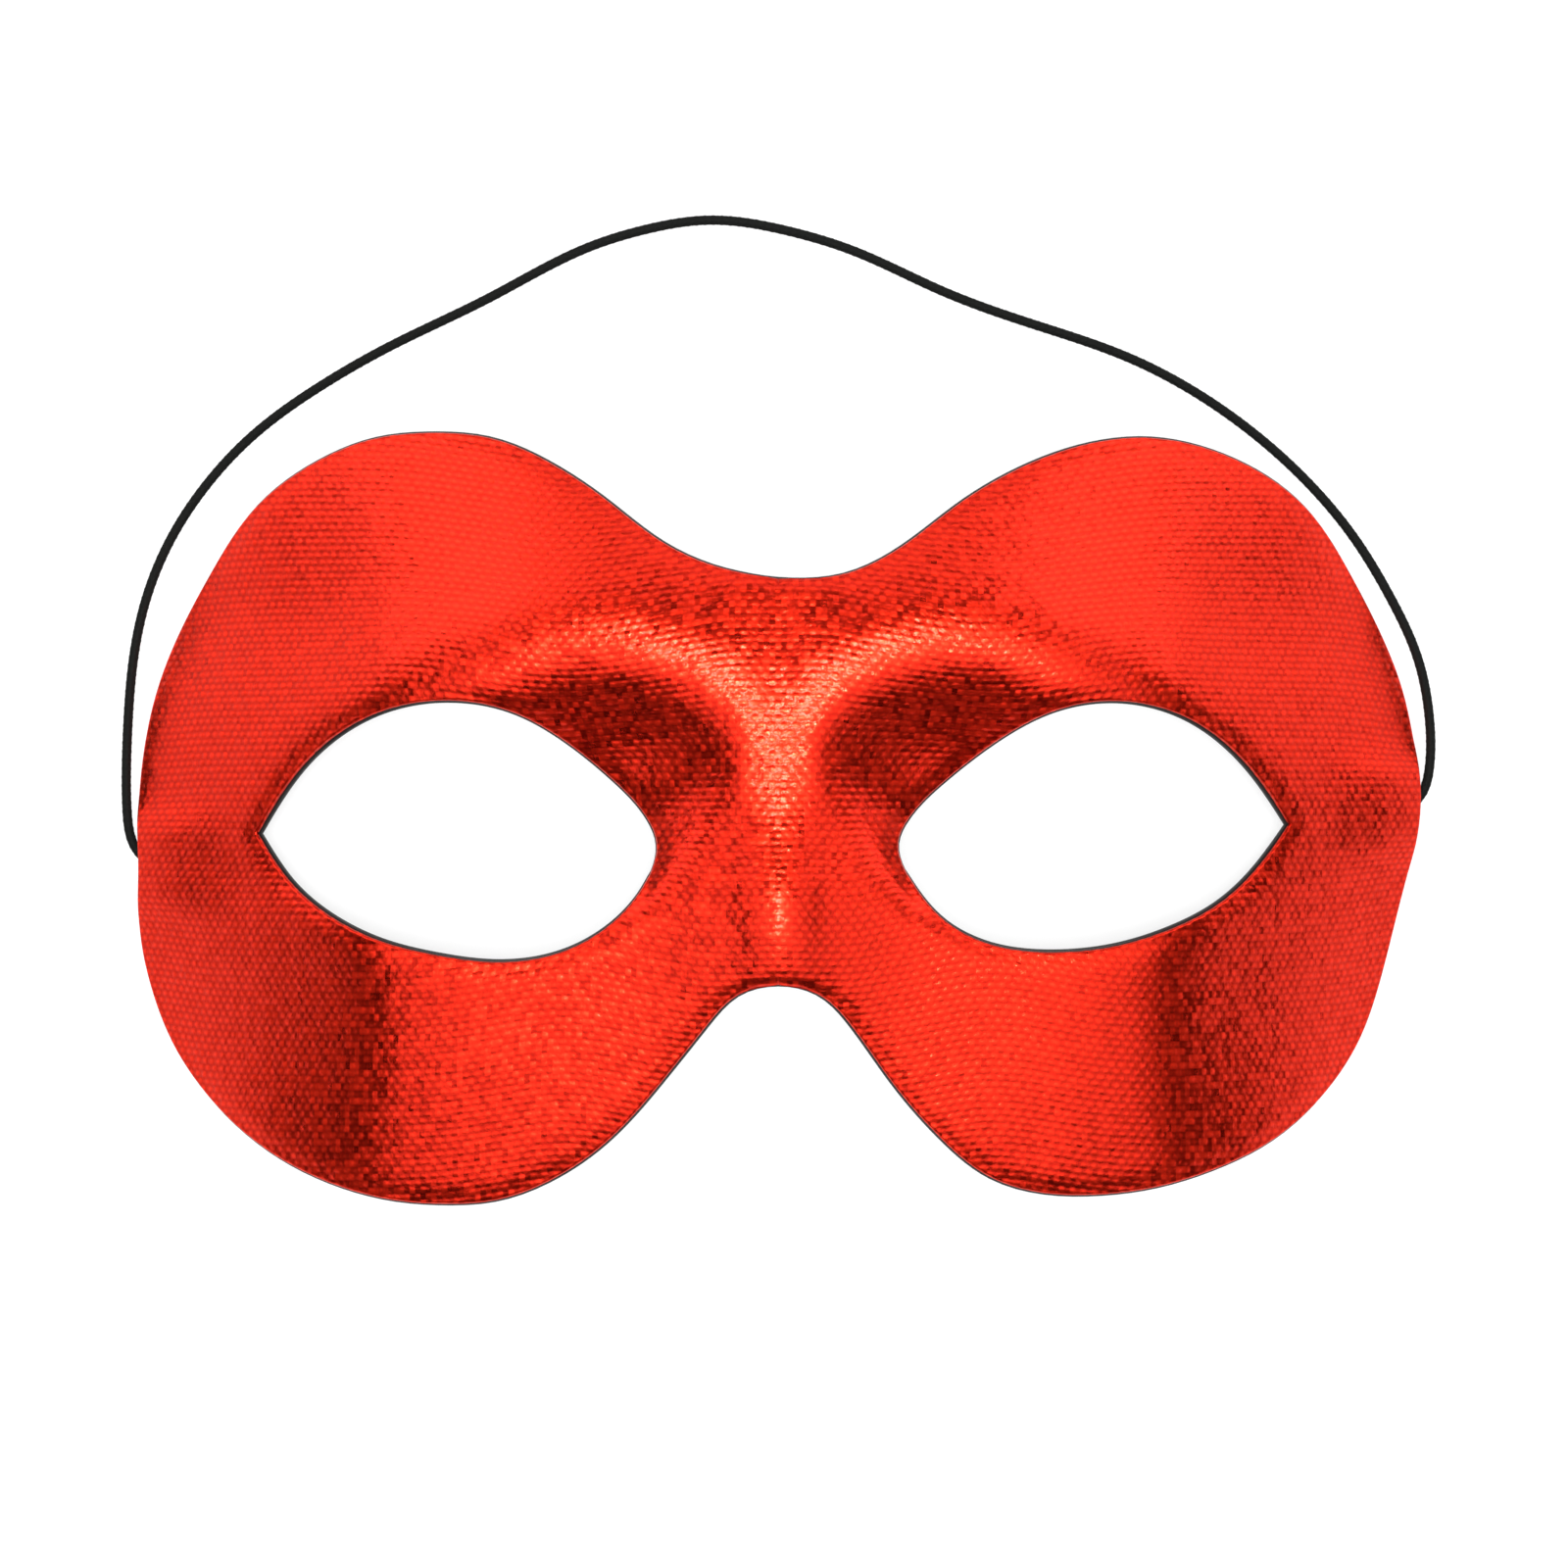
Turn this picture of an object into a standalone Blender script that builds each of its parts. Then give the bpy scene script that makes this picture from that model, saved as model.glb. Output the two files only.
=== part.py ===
"""Moulded half mask that lies face up on its temples, with its elastic head cord laid on the same surface.

The stiff backing is a thin moulded shell, open behind. A knitted cover is bonded over its front. Both
follow one face surface: the wrap round the head, the brow, the eye sockets, the nose and the cheeks.
The cord is held behind each temple by a small bonded tab, and leaves under an arch in the rim.

Frame: +X to the right as seen from the front, +Y up the forehead, +Z out of the face. The origin is the
middle of the mask in X and Y, on the surface that the temples rest on.
"""

import math

import bmesh
import bpy
import numpy as np

MM = 0.001

# Face, seen from the front
MASK_WIDTH = 180 * MM
MASK_HEIGHT = 105.5 * MM

# Layers, from the front to the back
COVER_THICKNESS = 1.0 * MM
LAYER_GAP = 0.3 * MM
BACKING_THICKNESS = 1.2 * MM

# Main form
WRAP_DEPTH = 44 * MM
FOREHEAD_FALL = 3.0 * MM
CHEEK_FALL = 2.0 * MM
BROW_RISE = 2.0 * MM
BROW_WIDTH = 12.0 * MM
BROW_TURN = 6.5 * MM
SOCKET_DEPTH = 26 * MM
SOCKET_TURN = 7 * MM
WALL_TURN = 10 * MM
BRIDGE_HALF_WIDTH = 2.2 * MM
NOSE_RISE = 4.0 * MM
NOSE_WIDTH = 11.0 * MM
CHEEK_TURN = 8 * MM
CHEEK_RISE = 0.8 * MM
# Slopes of the forehead, of the wall of each eye socket and of the cheeks
FOREHEAD_LEAN = 0.27
SOCKET_SLOPE = 0.75
CHEEK_LEAN = 0.14
# How fast the nose widens downwards, each side
NOSE_SPREAD = 0.18
# Share of the socket's depth that is left beside the tip of the nose
CHEEK_SHARE = 0.15

# Edges
REST_REACH = 18 * MM
REST_FADE = 16 * MM
COVER_SETBACK = 0.35 * MM
EDGE_EASE = 0.4 * MM
EDGE_WIDTH = 3.0 * MM

# Elastic cord, the arches that it leaves under and the tabs that hold its ends
CORD_DIAMETER = 1.4 * MM
CORD_CLEARANCE = 0.6 * MM
ARCH_HALF_LENGTH = 11.0 * MM
TAB_LENGTH = 14.0 * MM
TAB_WIDTH = 7.0 * MM
TAB_THICKNESS = 2.2 * MM

# Outer edge from the brow dip to the nose arch: place, then across and up on the left half and on the
# right half, as shares of half the width and half the height
EDGE = [
    ("brow_dip", 0.000, 0.617, 0.000, 0.617),
    ("dip_side", 0.085, 0.645, 0.095, 0.628),
    ("brow_rise", 0.167, 0.708, 0.183, 0.702),
    ("brow_slope", 0.255, 0.822, 0.271, 0.816),
    ("brow_shoulder", 0.344, 0.923, 0.360, 0.906),
    ("brow_crown", 0.433, 0.987, 0.449, 0.965),
    ("brow_top", 0.525, 1.003, 0.548, 0.991),
    ("brow_bend", 0.616, 0.990, 0.644, 0.970),
    ("brow_side", 0.711, 0.930, 0.732, 0.913),
    ("brow_corner", 0.806, 0.817, 0.814, 0.815),
    ("temple_rise", 0.878, 0.659, 0.884, 0.659),
    ("temple_upper", 0.932, 0.504, 0.936, 0.505),
    ("temple_high", 0.969, 0.349, 0.973, 0.349),
    ("temple_top", 0.991, 0.180, 0.993, 0.190),
    ("temple", 0.999, 0.000, 1.000, 0.040),
    ("temple_low", 0.997, -0.140, 0.989, -0.100),
    ("temple_foot", 0.998, -0.280, 0.970, -0.230),
    ("cheek_corner", 0.983, -0.430, 0.945, -0.400),
    ("cheek_side", 0.948, -0.584, 0.906, -0.586),
    ("cheek_bend", 0.880, -0.738, 0.837, -0.740),
    ("cheek_curve", 0.766, -0.886, 0.759, -0.842),
    ("cheek_low", 0.669, -0.956, 0.663, -0.914),
    ("cheek_under", 0.582, -0.989, 0.570, -0.956),
    ("cheek_bottom", 0.500, -0.997, 0.475, -0.973),
    ("cheek_inner", 0.418, -0.983, 0.383, -0.962),
    ("cheek_turn", 0.344, -0.935, 0.316, -0.923),
    ("cheek_rise", 0.256, -0.832, 0.244, -0.826),
    ("arch_foot", 0.169, -0.669, 0.164, -0.668),
    ("arch_side", 0.104, -0.529, 0.106, -0.529),
    ("arch_shoulder", 0.057, -0.448, 0.059, -0.449),
    ("nose_arch", 0.000, -0.424, 0.000, -0.424),
]

# Eye opening from its outer tip over the lid, round the inner corner and back under, as EDGE
EYE = [
    ("outer_tip", 0.788, -0.040, 0.771, -0.017),
    ("lid_outer", 0.706, 0.149, 0.702, 0.138),
    ("lid_rise", 0.611, 0.257, 0.621, 0.244),
    ("lid_top", 0.484, 0.295, 0.480, 0.293),
    ("lid_fall", 0.391, 0.262, 0.404, 0.264),
    ("lid_inner", 0.321, 0.194, 0.326, 0.191),
    ("corner_upper", 0.249, 0.094, 0.251, 0.092),
    ("corner_top", 0.202, 0.006, 0.201, 0.006),
    ("inner_corner", 0.186, -0.060, 0.183, -0.059),
    ("corner_lower", 0.201, -0.156, 0.204, -0.159),
    ("under_inner", 0.248, -0.257, 0.249, -0.252),
    ("under_turn", 0.314, -0.326, 0.308, -0.308),
    ("under_low", 0.415, -0.358, 0.402, -0.333),
    ("under_mid", 0.506, -0.342, 0.505, -0.317),
    ("under_rise", 0.598, -0.304, 0.589, -0.274),
    ("under_outer", 0.673, -0.244, 0.660, -0.215),
    ("under_tip", 0.737, -0.158, 0.723, -0.122),
    ("end_tip", 0.788, -0.040, 0.771, -0.017),
]

# Wrap round the head: share of the half width, share of WRAP_DEPTH that the surface has fallen
WRAP = [
    (0.00, 0.000),
    (0.20, 0.013),
    (0.40, 0.060),
    (0.50, 0.108),
    (0.55, 0.142),
    (0.60, 0.188),
    (0.65, 0.258),
    (0.70, 0.348),
    (0.80, 0.548),
    (0.90, 0.768),
    (1.00, 1.000),
]

# Crest of the brow: share of the half width, share of the half height
BROW_CREST = [
    (0.00, 0.110),
    (0.03, 0.215),
    (0.06, 0.305),
    (0.10, 0.375),
    (0.15, 0.425),
    (0.21, 0.460),
    (0.28, 0.475),
    (0.36, 0.457),
    (0.45, 0.408),
    (0.54, 0.350),
    (0.64, 0.270),
    (0.75, 0.150),
    (1.00, -0.150),
]

# Ridge of the nose: share of the half height, share of NOSE_RISE
NOSE_RIDGE = [
    (-1.00, 0.000),
    (-0.80, 0.050),
    (-0.60, 0.350),
    (-0.45, 0.820),
    (-0.38, 0.960),
    (-0.30, 1.000),
    (-0.21, 0.880),
    (-0.10, 0.500),
    (-0.02, 0.250),
    (0.08, 0.060),
    (0.20, 0.000),
    (0.45, 0.000),
    (1.00, 0.000),
]

# Where the cord passes under the rim, as a share of the half height, by side
CORD_PASS = {"left": -0.115, "right": 0.035}

# Grid over each half of the face: spans of the outer edge, the span of the eye opening that each one
# faces, and the steps along both. The centre line faces the rest of the eye opening
SPANS = [
    ("brow_dip", "temple", "lid_inner", "outer_tip", 24),
    ("temple", "cheek_turn", "end_tip", "under_low", 16),
    ("cheek_turn", "nose_arch", "under_low", "under_inner", 10),
]
STEPS_CENTRE = 12
# Stations across the grid, from the eye opening to the edge
STATIONS = [0.0, 0.05, 0.14, 0.27, 0.42, 0.58, 0.73, 0.86, 0.95, 1.0]

HALF_WIDTH = MASK_WIDTH / 2 + COVER_SETBACK
HALF_HEIGHT = MASK_HEIGHT / 2
SIDES = {"left": -1, "right": 1}
BACKING_FRONT = COVER_THICKNESS + LAYER_GAP
BACKING_BACK = BACKING_FRONT + BACKING_THICKNESS


def ease(t):
    """0 below 0, 1 above 1, and smooth between them."""
    t = np.clip(t, 0.0, 1.0)
    return t * t * t * (t * (6 * t - 15) + 10)


def spline_slopes(at, values, closed=False):
    """Slopes of the cubic spline through values (rows) at the parameters at."""
    count = len(at)
    matrix = np.zeros((count, count))
    right = np.zeros((count,) + values.shape[1:])
    step = np.diff(at)
    rise = np.diff(values, axis=0) / step.reshape((-1,) + (1,) * (values.ndim - 1))
    for i in range(1, count - 1):
        matrix[i, i - 1 : i + 2] = 1 / step[i - 1], 2 / step[i - 1] + 2 / step[i], 1 / step[i]
        right[i] = 3 * (rise[i - 1] / step[i - 1] + rise[i] / step[i])
    if closed:
        matrix[0, [0, 1, -2]] = 2 / step[0] + 2 / step[-1], 1 / step[0], 1 / step[-1]
        right[0] = 3 * (rise[0] / step[0] + rise[-1] / step[-1])
        matrix[-1, [0, -1]] = 1, -1
    else:
        matrix[0, :2] = 2, 1
        matrix[-1, -2:] = 1, 2
        right[0], right[-1] = 3 * rise[0], 3 * rise[-1]
    return np.linalg.solve(matrix, right)


def spline(at, values, where, closed=False):
    """The cubic spline through values at the parameters at, read at where."""
    at, values, where = (np.asarray(v, float) for v in (at, values, where))
    slopes = spline_slopes(at, values, closed)
    where = np.clip(where, at[0], at[-1])
    i = np.clip(np.searchsorted(at, where, side="right") - 1, 0, len(at) - 2)
    step = at[i + 1] - at[i]
    t = (where - at[i]) / step
    if values.ndim > 1:
        step, t = step[..., None], t[..., None]
    return (
        values[i] * (1 + 2 * t) * (1 - t) ** 2
        + values[i + 1] * t * t * (3 - 2 * t)
        + slopes[i] * step * t * (1 - t) ** 2
        - slopes[i + 1] * step * t * t * (1 - t)
    )


def table_curve(rows, where):
    """A short two-column table read as a smooth curve."""
    rows = np.array(rows)
    return spline(rows[:, 0], rows[:, 1], where)


def chords(points):
    """Distance along a row of points, from 0."""
    return np.concatenate([[0], np.cumsum(np.linalg.norm(np.diff(points, axis=0), axis=1))])


def evenly(curve, start, end, steps):
    """Points at equal distances along curve, a function of a parameter, from start to end."""
    fine = curve(np.linspace(start, end, 60 * steps + 1))
    along = chords(fine)
    places = np.linspace(0, along[-1], steps + 1)
    return np.stack([np.interp(places, along, fine[:, k]) for k in range(2)], axis=1)


def plan_points(rows, side):
    """A table's points for one side, in metres seen from the front, with the side's sign on X."""
    column = 1 if side == "left" else 3
    return np.array(
        [
            (SIDES[side] * row[column] * HALF_WIDTH, row[column + 1] * HALF_HEIGHT)
            for row in rows
        ]
    )


def edge_curve(side):
    """The outer edge of one side as a function of distance, and that distance at each table row.
    The closed curve runs round both sides, so it stays smooth through the dip and the arch."""
    other = "right" if side == "left" else "left"
    own = plan_points(EDGE, side)
    back = plan_points(EDGE, other)[::-1][1:]
    points = np.vstack([own, back])
    at = chords(points)
    return lambda where: spline(at, points, where, closed=True), at[: len(own)]


def eye_curve(side):
    """The eye opening of one side, which is sharp at its outer tip only."""
    points = plan_points(EYE, side)
    at = chords(points)
    return lambda where: spline(at, points, where), at


def row_of(rows, place):
    return [row[0] for row in rows].index(place)


def temple_line(side):
    """How far out the outer edge lies at a height, near the temple."""
    curve, at = edge_curve(side)
    first, last = row_of(EDGE, "brow_corner"), row_of(EDGE, "cheek_bend")
    stretch = curve(np.linspace(at[first], at[last], 200))[::-1]

    def out(y):
        past = np.clip((np.abs(y) - REST_REACH) / REST_FADE, 0, 1)
        near = np.minimum(np.abs(y), REST_REACH) + REST_FADE * (past - past**3 + past**4 / 2)
        return np.interp(np.sign(y) * near, stretch[:, 1], np.abs(stretch[:, 0]))

    return out


TEMPLE_LINES = {side: temple_line(side) for side in SIDES}


def wrap_share(x, y):
    """How far out a point is towards its own temple: 0 at the middle, 1 at the temple's edge."""
    left, right = TEMPLE_LINES["left"](y), TEMPLE_LINES["right"](y)
    return np.abs(x) / np.where(x < 0, left, right)


def cord_arch(x, y, share):
    """Height that the rim rises where the cord passes under it."""
    rise = CORD_DIAMETER + 2 * CORD_CLEARANCE
    middle = np.where(x < 0, CORD_PASS["left"], CORD_PASS["right"]) * HALF_HEIGHT
    along = np.abs(y - middle) / ARCH_HALF_LENGTH
    return rise * (1 - ease((along - 0.25) / 0.75)) * ease((share - 0.80) / 0.20)


def hinge(b, turn):
    """0 below 0, then a slow turn into a slope of 1."""
    b = np.maximum(b, 0)
    return b**3 / (b * b + turn * turn)


def face_height(x, y):
    """Height of the front of the face above the resting surface."""
    share = wrap_share(x, y)
    across, up = np.abs(x) / HALF_WIDTH, y / HALF_HEIGHT
    height = WRAP_DEPTH * (1 - table_curve(WRAP, share))

    # Forehead and cheeks lean back beyond the height of the temples
    beyond = np.clip((np.abs(y) - REST_REACH) / (HALF_HEIGHT - REST_REACH), 0, None)
    height -= np.where(y > 0, FOREHEAD_FALL, CHEEK_FALL) * beyond**2

    # Features fade out before the temple's edge
    inside = 1 - ease((share - 0.72) / 0.24)

    # Brow: a soft crest that leans back to the forehead, and drops to a V between the eyes
    near = np.sqrt(across**2 + 0.02**2)
    crest = table_curve(BROW_CREST, near) * HALF_HEIGHT
    steep = (table_curve(BROW_CREST, near + 0.01) - table_curve(BROW_CREST, near - 0.01)) / 0.02
    steep *= HALF_HEIGHT / HALF_WIDTH
    below = (crest - y) / np.sqrt(1 + steep**2)
    brow = BROW_RISE * (1 - 0.8 * ease((across - 0.38) / 0.36))
    brow *= np.exp(-((below / BROW_WIDTH) ** 2))
    brow -= FOREHEAD_LEAN * hinge(-below, BROW_TURN) * (1 - ease((share - 0.40) / 0.60))

    # Socket: a wall under the crest that turns round into the side of the nose
    wall = hinge(below, WALL_TURN)
    bridge = BRIDGE_HALF_WIDTH + NOSE_SPREAD * hinge(0.30 * HALF_HEIGHT - y, SOCKET_TURN)
    flank = hinge(np.abs(x) - bridge, SOCKET_TURN)
    reach = (np.maximum(wall, 1e-6) ** -2 + np.maximum(flank, 1e-6) ** -2) ** (-1 / 2)
    socket = SOCKET_DEPTH * np.tanh(SOCKET_SLOPE * reach / SOCKET_DEPTH)
    socket *= 1 - 0.80 * ease((across - 0.22) / 0.45)
    hollow = ease((up + np.minimum(1.54 * across, 0.30)) / 0.30)
    socket *= CHEEK_SHARE + (1 - CHEEK_SHARE) * hollow
    height += inside * (brow - socket)

    # Nose: a ridge that rises to its tip and falls to the arch
    height += NOSE_RISE * table_curve(NOSE_RIDGE, up) * np.exp(-((x / NOSE_WIDTH) ** 2))

    # Cheeks: they lean back below the eyes, with a soft swelling under each one
    lean = CHEEK_LEAN * hinge(-y - 0.12 * HALF_HEIGHT, CHEEK_TURN)
    height -= lean * (1 - ease((share - 0.50) / 0.40))
    cheek = np.exp(-(((across - 0.42) / 0.20) ** 2) - ((up + 0.68) / 0.42) ** 2)
    height += CHEEK_RISE * cheek

    return height + cord_arch(x, y, share)


def face_normal(x, y):
    """Unit normals of the front of the face."""
    d = 0.2 * MM
    slope_x = (face_height(x + d, y) - face_height(x - d, y)) / (2 * d)
    slope_y = (face_height(x, y + d) - face_height(x, y - d)) / (2 * d)
    normal = np.stack([-slope_x, -slope_y, np.ones_like(slope_x)], axis=-1)
    return normal / np.linalg.norm(normal, axis=-1, keepdims=True)


def layer(x, y, depth, at_edge=0.0):
    """The face surface moved back by depth through the wall. At an edge, where at_edge is 1, the move
    turns straight back, and at the temple's edge it turns level, so that the rim rests on a flat."""
    normal = face_normal(x, y)
    level = ease((wrap_share(x, y) - 0.88) / 0.12)[..., None]
    back = at_edge * (1 - level)
    flat = normal * (1, 1, 0)
    flat /= np.maximum(np.linalg.norm(flat, axis=-1, keepdims=True), 1e-9)
    upright = 0.8 * back * np.array([0, 0, 1])
    way = (normal * (1 - 0.8 * back) + upright) * (1 - level) + flat * level
    way /= np.linalg.norm(way, axis=-1, keepdims=True)
    way /= np.maximum(np.sum(way * normal, axis=-1, keepdims=True), 0.65)
    front = np.stack([x, y, face_height(x, y)], axis=-1)
    return front - way * depth - back * np.array([0, 0, EDGE_EASE])


def face_grid(side, setback):
    """Plan points of one half: rows run round the eye opening, columns from it to the outer edge. Edge
    points stand in by setback. Also how far each point counts as an edge, from 0 to 1."""
    edge, edge_at = edge_curve(side)
    eye, eye_at = eye_curve(side)
    outer, inner = [], []
    for edge_from, edge_to, eye_from, eye_to, steps in SPANS:
        ends = edge_at[row_of(EDGE, edge_from)], edge_at[row_of(EDGE, edge_to)]
        outer += list(evenly(edge, *ends, steps)[:-1])
        ends = eye_at[row_of(EYE, eye_from)], eye_at[row_of(EYE, eye_to)]
        inner += list(evenly(eye, *ends, steps)[:-1])
    edge_steps = len(outer)
    dip, arch = edge(edge_at[[0, -1]])
    outer += list(np.linspace(arch, dip, STEPS_CENTRE + 1)[:-1])
    ends = eye_at[row_of(EYE, SPANS[-1][3])], eye_at[row_of(EYE, SPANS[0][2])]
    inner += list(evenly(eye, *ends, STEPS_CENTRE)[:-1])
    outer, inner = np.array(outer), np.array(inner)
    outer[np.abs(outer[:, 0]) < 1e-7, 0] = 0.0
    share = np.array(STATIONS)[None, :, None]
    grid = inner[:, None] * (1 - share) + outer[:, None] * share

    # Only the two ends of the centre line are edges, and they move along it
    on_edge = np.arange(len(outer)) <= edge_steps
    for column, following, chosen in ((0, 1, on_edge | True), (-1, -2, on_edge)):
        inward = grid[:, following] - grid[:, column]
        inward[grid[:, column, 0] == 0.0, 0] = 0.0
        inward /= np.linalg.norm(inward, axis=1, keepdims=True)
        grid[chosen, column] += inward[chosen] * setback
    width = np.linalg.norm(outer - inner, axis=1)[:, None]
    from_eye, from_outer = share[..., 0] * width, (1 - share[..., 0]) * width
    at_edge = 1 - ease(from_eye / EDGE_WIDTH)
    at_edge = np.maximum(at_edge, (1 - ease(from_outer / EDGE_WIDTH)) * on_edge[:, None])
    return grid, at_edge[..., None], edge_steps


def shell_mesh(name, front_depth, back_depth, setback):
    """One closed shell between two depths behind the face surface, both halves joined."""
    mesh = bmesh.new()
    for side in SIDES:
        grid, at_edge, edge_steps = face_grid(side, setback)
        x, y = grid[..., 0], grid[..., 1]
        layers = [layer(x, y, depth, at_edge) for depth in (front_depth, back_depth)]
        rows, columns = x.shape
        for points in layers:
            points[x == 0.0, 0] = 0.0
        front, back = (
            [[mesh.verts.new(points[i, j]) for j in range(columns)] for i in range(rows)]
            for points in layers
        )
        for i in range(rows):
            k = (i + 1) % rows
            for j in range(columns - 1):
                mesh.faces.new((front[i][j], front[k][j], front[k][j + 1], front[i][j + 1]))
                mesh.faces.new((back[i][j + 1], back[k][j + 1], back[k][j], back[i][j]))
            mesh.faces.new((back[i][0], back[k][0], front[k][0], front[i][0]))
            if i < edge_steps:
                mesh.faces.new((front[i][-1], front[k][-1], back[k][-1], back[i][-1]))
    bmesh.ops.remove_doubles(mesh, verts=mesh.verts, dist=0.005 * MM)
    bmesh.ops.triangulate(mesh, faces=mesh.faces)
    return finish_mesh(name, mesh)


def finish_mesh(name, mesh):
    bmesh.ops.recalc_face_normals(mesh, faces=mesh.faces)
    data = bpy.data.meshes.new(name)
    mesh.to_mesh(data)
    mesh.free()
    obj = bpy.data.objects.new(name, data)
    bpy.context.scene.collection.objects.link(obj)
    data.shade_smooth()
    data.set_sharp_from_angle(angle=math.radians(50))
    return obj


def material(name, colour, roughness, metallic):
    made = bpy.data.materials.new(name)
    made.use_nodes = True
    shader = made.node_tree.nodes["Principled BSDF"]
    shader.inputs["Base Color"].default_value = (*colour, 1.0)
    shader.inputs["Roughness"].default_value = roughness
    shader.inputs["Metallic"].default_value = metallic
    return made


def tab_plan(side):
    """Plan corners of a cord tab: its outer and inner X, and its lower and upper Y."""
    upper = CORD_PASS[side] * HALF_HEIGHT - ARCH_HALF_LENGTH
    out = TEMPLE_LINES[side](upper - TAB_LENGTH) - 2.2 * BACKING_BACK
    return out, out - TAB_WIDTH, upper - TAB_LENGTH, upper


def cord_tab(side):
    """A plain bonded tab on the back of the temple wall."""
    out, inner, lower, upper = tab_plan(side)
    x, y = np.meshgrid(
        SIDES[side] * np.linspace(out, inner, 5), np.linspace(lower, upper, 7), indexing="ij"
    )
    mesh = bmesh.new()
    depths = (BACKING_BACK + LAYER_GAP, BACKING_BACK + LAYER_GAP + TAB_THICKNESS)
    front, back = (
        [[mesh.verts.new(p) for p in row] for row in layer(x, y, depth)] for depth in depths
    )
    for sheet in (front, back):
        for i in range(4):
            for j in range(6):
                mesh.faces.new(
                    (sheet[i][j], sheet[i + 1][j], sheet[i + 1][j + 1], sheet[i][j + 1])
                )
    around = (
        [(i, 0) for i in range(4)]
        + [(4, j) for j in range(6)]
        + [(i, 6) for i in range(4, 0, -1)]
        + [(0, j) for j in range(6, 0, -1)]
    )
    for (i, j), (k, m) in zip(around, around[1:] + around[:1]):
        mesh.faces.new((front[i][j], front[k][m], back[k][m], back[i][j]))
    return finish_mesh(f"cord_tab_{side}", mesh)


# Route of the cord as it lies above the mask, from the left temple over to the right one, as shares of
# half the width and half the height
CORD_ROUTE = [
    (-1.010, 0.020),
    (-1.011, 0.130),
    (-1.008, 0.270),
    (-1.000, 0.422),
    (-0.980, 0.583),
    (-0.943, 0.737),
    (-0.885, 0.888),
    (-0.813, 1.018),
    (-0.714, 1.142),
    (-0.600, 1.254),
    (-0.448, 1.381),
    (-0.296, 1.514),
    (-0.204, 1.563),
    (-0.106, 1.587),
    (0.008, 1.561),
    (0.115, 1.506),
    (0.252, 1.400),
    (0.403, 1.306),
    (0.541, 1.223),
    (0.692, 1.078),
    (0.815, 0.900),
    (0.894, 0.739),
    (0.949, 0.583),
    (0.991, 0.422),
    (1.009, 0.262),
    (1.009, 0.135),
]
CORD_POINTS = 80
CORD_ON_FLOOR = CORD_DIAMETER / 2 + 0.1 * MM


def cord_lead(side):
    """Hidden points of the cord from the tab's end, under the rim's arch, to the surface outside."""
    out, inner, _, upper = tab_plan(side)
    middle = BACKING_BACK + LAYER_GAP + TAB_THICKNESS / 2
    end = layer(SIDES[side] * np.array([(out + inner) / 2]), np.array([upper]), middle)[0]
    rim_y = CORD_PASS[side] * HALF_HEIGHT
    rim = np.array([SIDES[side] * TEMPLE_LINES[side](rim_y), rim_y, CORD_ON_FLOOR])
    inward = np.array([-SIDES[side], 0, 0]) * CORD_DIAMETER
    along = np.array([0, 1, 0]) * CORD_DIAMETER
    return [
        end + (0, LAYER_GAP, 0),
        end + 1.6 * along,
        0.6 * end + 0.4 * rim + 0.6 * along + (0, 0, -1.3 * MM),
        0.32 * end + 0.68 * rim + 0.2 * along + (0, 0, -2.3 * MM),
        rim + 1.9 * inward - 0.6 * along,
        rim + 0.25 * inward + 1.0 * along,
    ]


def elastic_cord():
    route = [(x * HALF_WIDTH, y * HALF_HEIGHT, CORD_ON_FLOOR) for x, y in CORD_ROUTE]
    points = np.array([*cord_lead("left"), *route, *cord_lead("right")[::-1]])
    at = chords(points)
    line = spline(at, points, np.linspace(0, at[-1], CORD_POINTS))
    curve = bpy.data.curves.new("elastic_cord", "CURVE")
    curve.dimensions = "3D"
    curve.bevel_depth = CORD_DIAMETER / 2
    curve.bevel_resolution = 2
    curve.use_fill_caps = True
    run = curve.splines.new("POLY")
    run.points.add(len(line) - 1)
    for point, place in zip(run.points, line):
        point.co = (*place, 1.0)
    obj = bpy.data.objects.new("elastic_cord", curve)
    bpy.context.scene.collection.objects.link(obj)
    return obj


def build():
    for obj in list(bpy.data.objects):
        bpy.data.objects.remove(obj)
    red_knit = material("red_metallic_knit", (0.75, 0.03, 0.015), 0.38, 0.9)
    black_shell = material("black_moulded_shell", (0.012, 0.012, 0.013), 0.6, 0.0)
    black_tab = material("black_bonded_tab", (0.01, 0.01, 0.011), 0.85, 0.0)
    black_elastic = material("black_elastic", (0.012, 0.013, 0.012), 0.7, 0.0)
    cover = shell_mesh("face_cover", 0.0, COVER_THICKNESS, COVER_SETBACK)
    cover.data.materials.append(red_knit)
    backing = shell_mesh("backing_shell", BACKING_FRONT, BACKING_BACK, 0.0)
    backing.data.materials.append(black_shell)
    for side in SIDES:
        cord_tab(side).data.materials.append(black_tab)
    elastic_cord().data.materials.append(black_elastic)


build()
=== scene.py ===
"""Venetian half mask, lying face up on a white studio floor, with its elastic loose above it."""

import math

import bmesh
import bpy
import numpy as np
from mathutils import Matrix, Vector, noise


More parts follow.
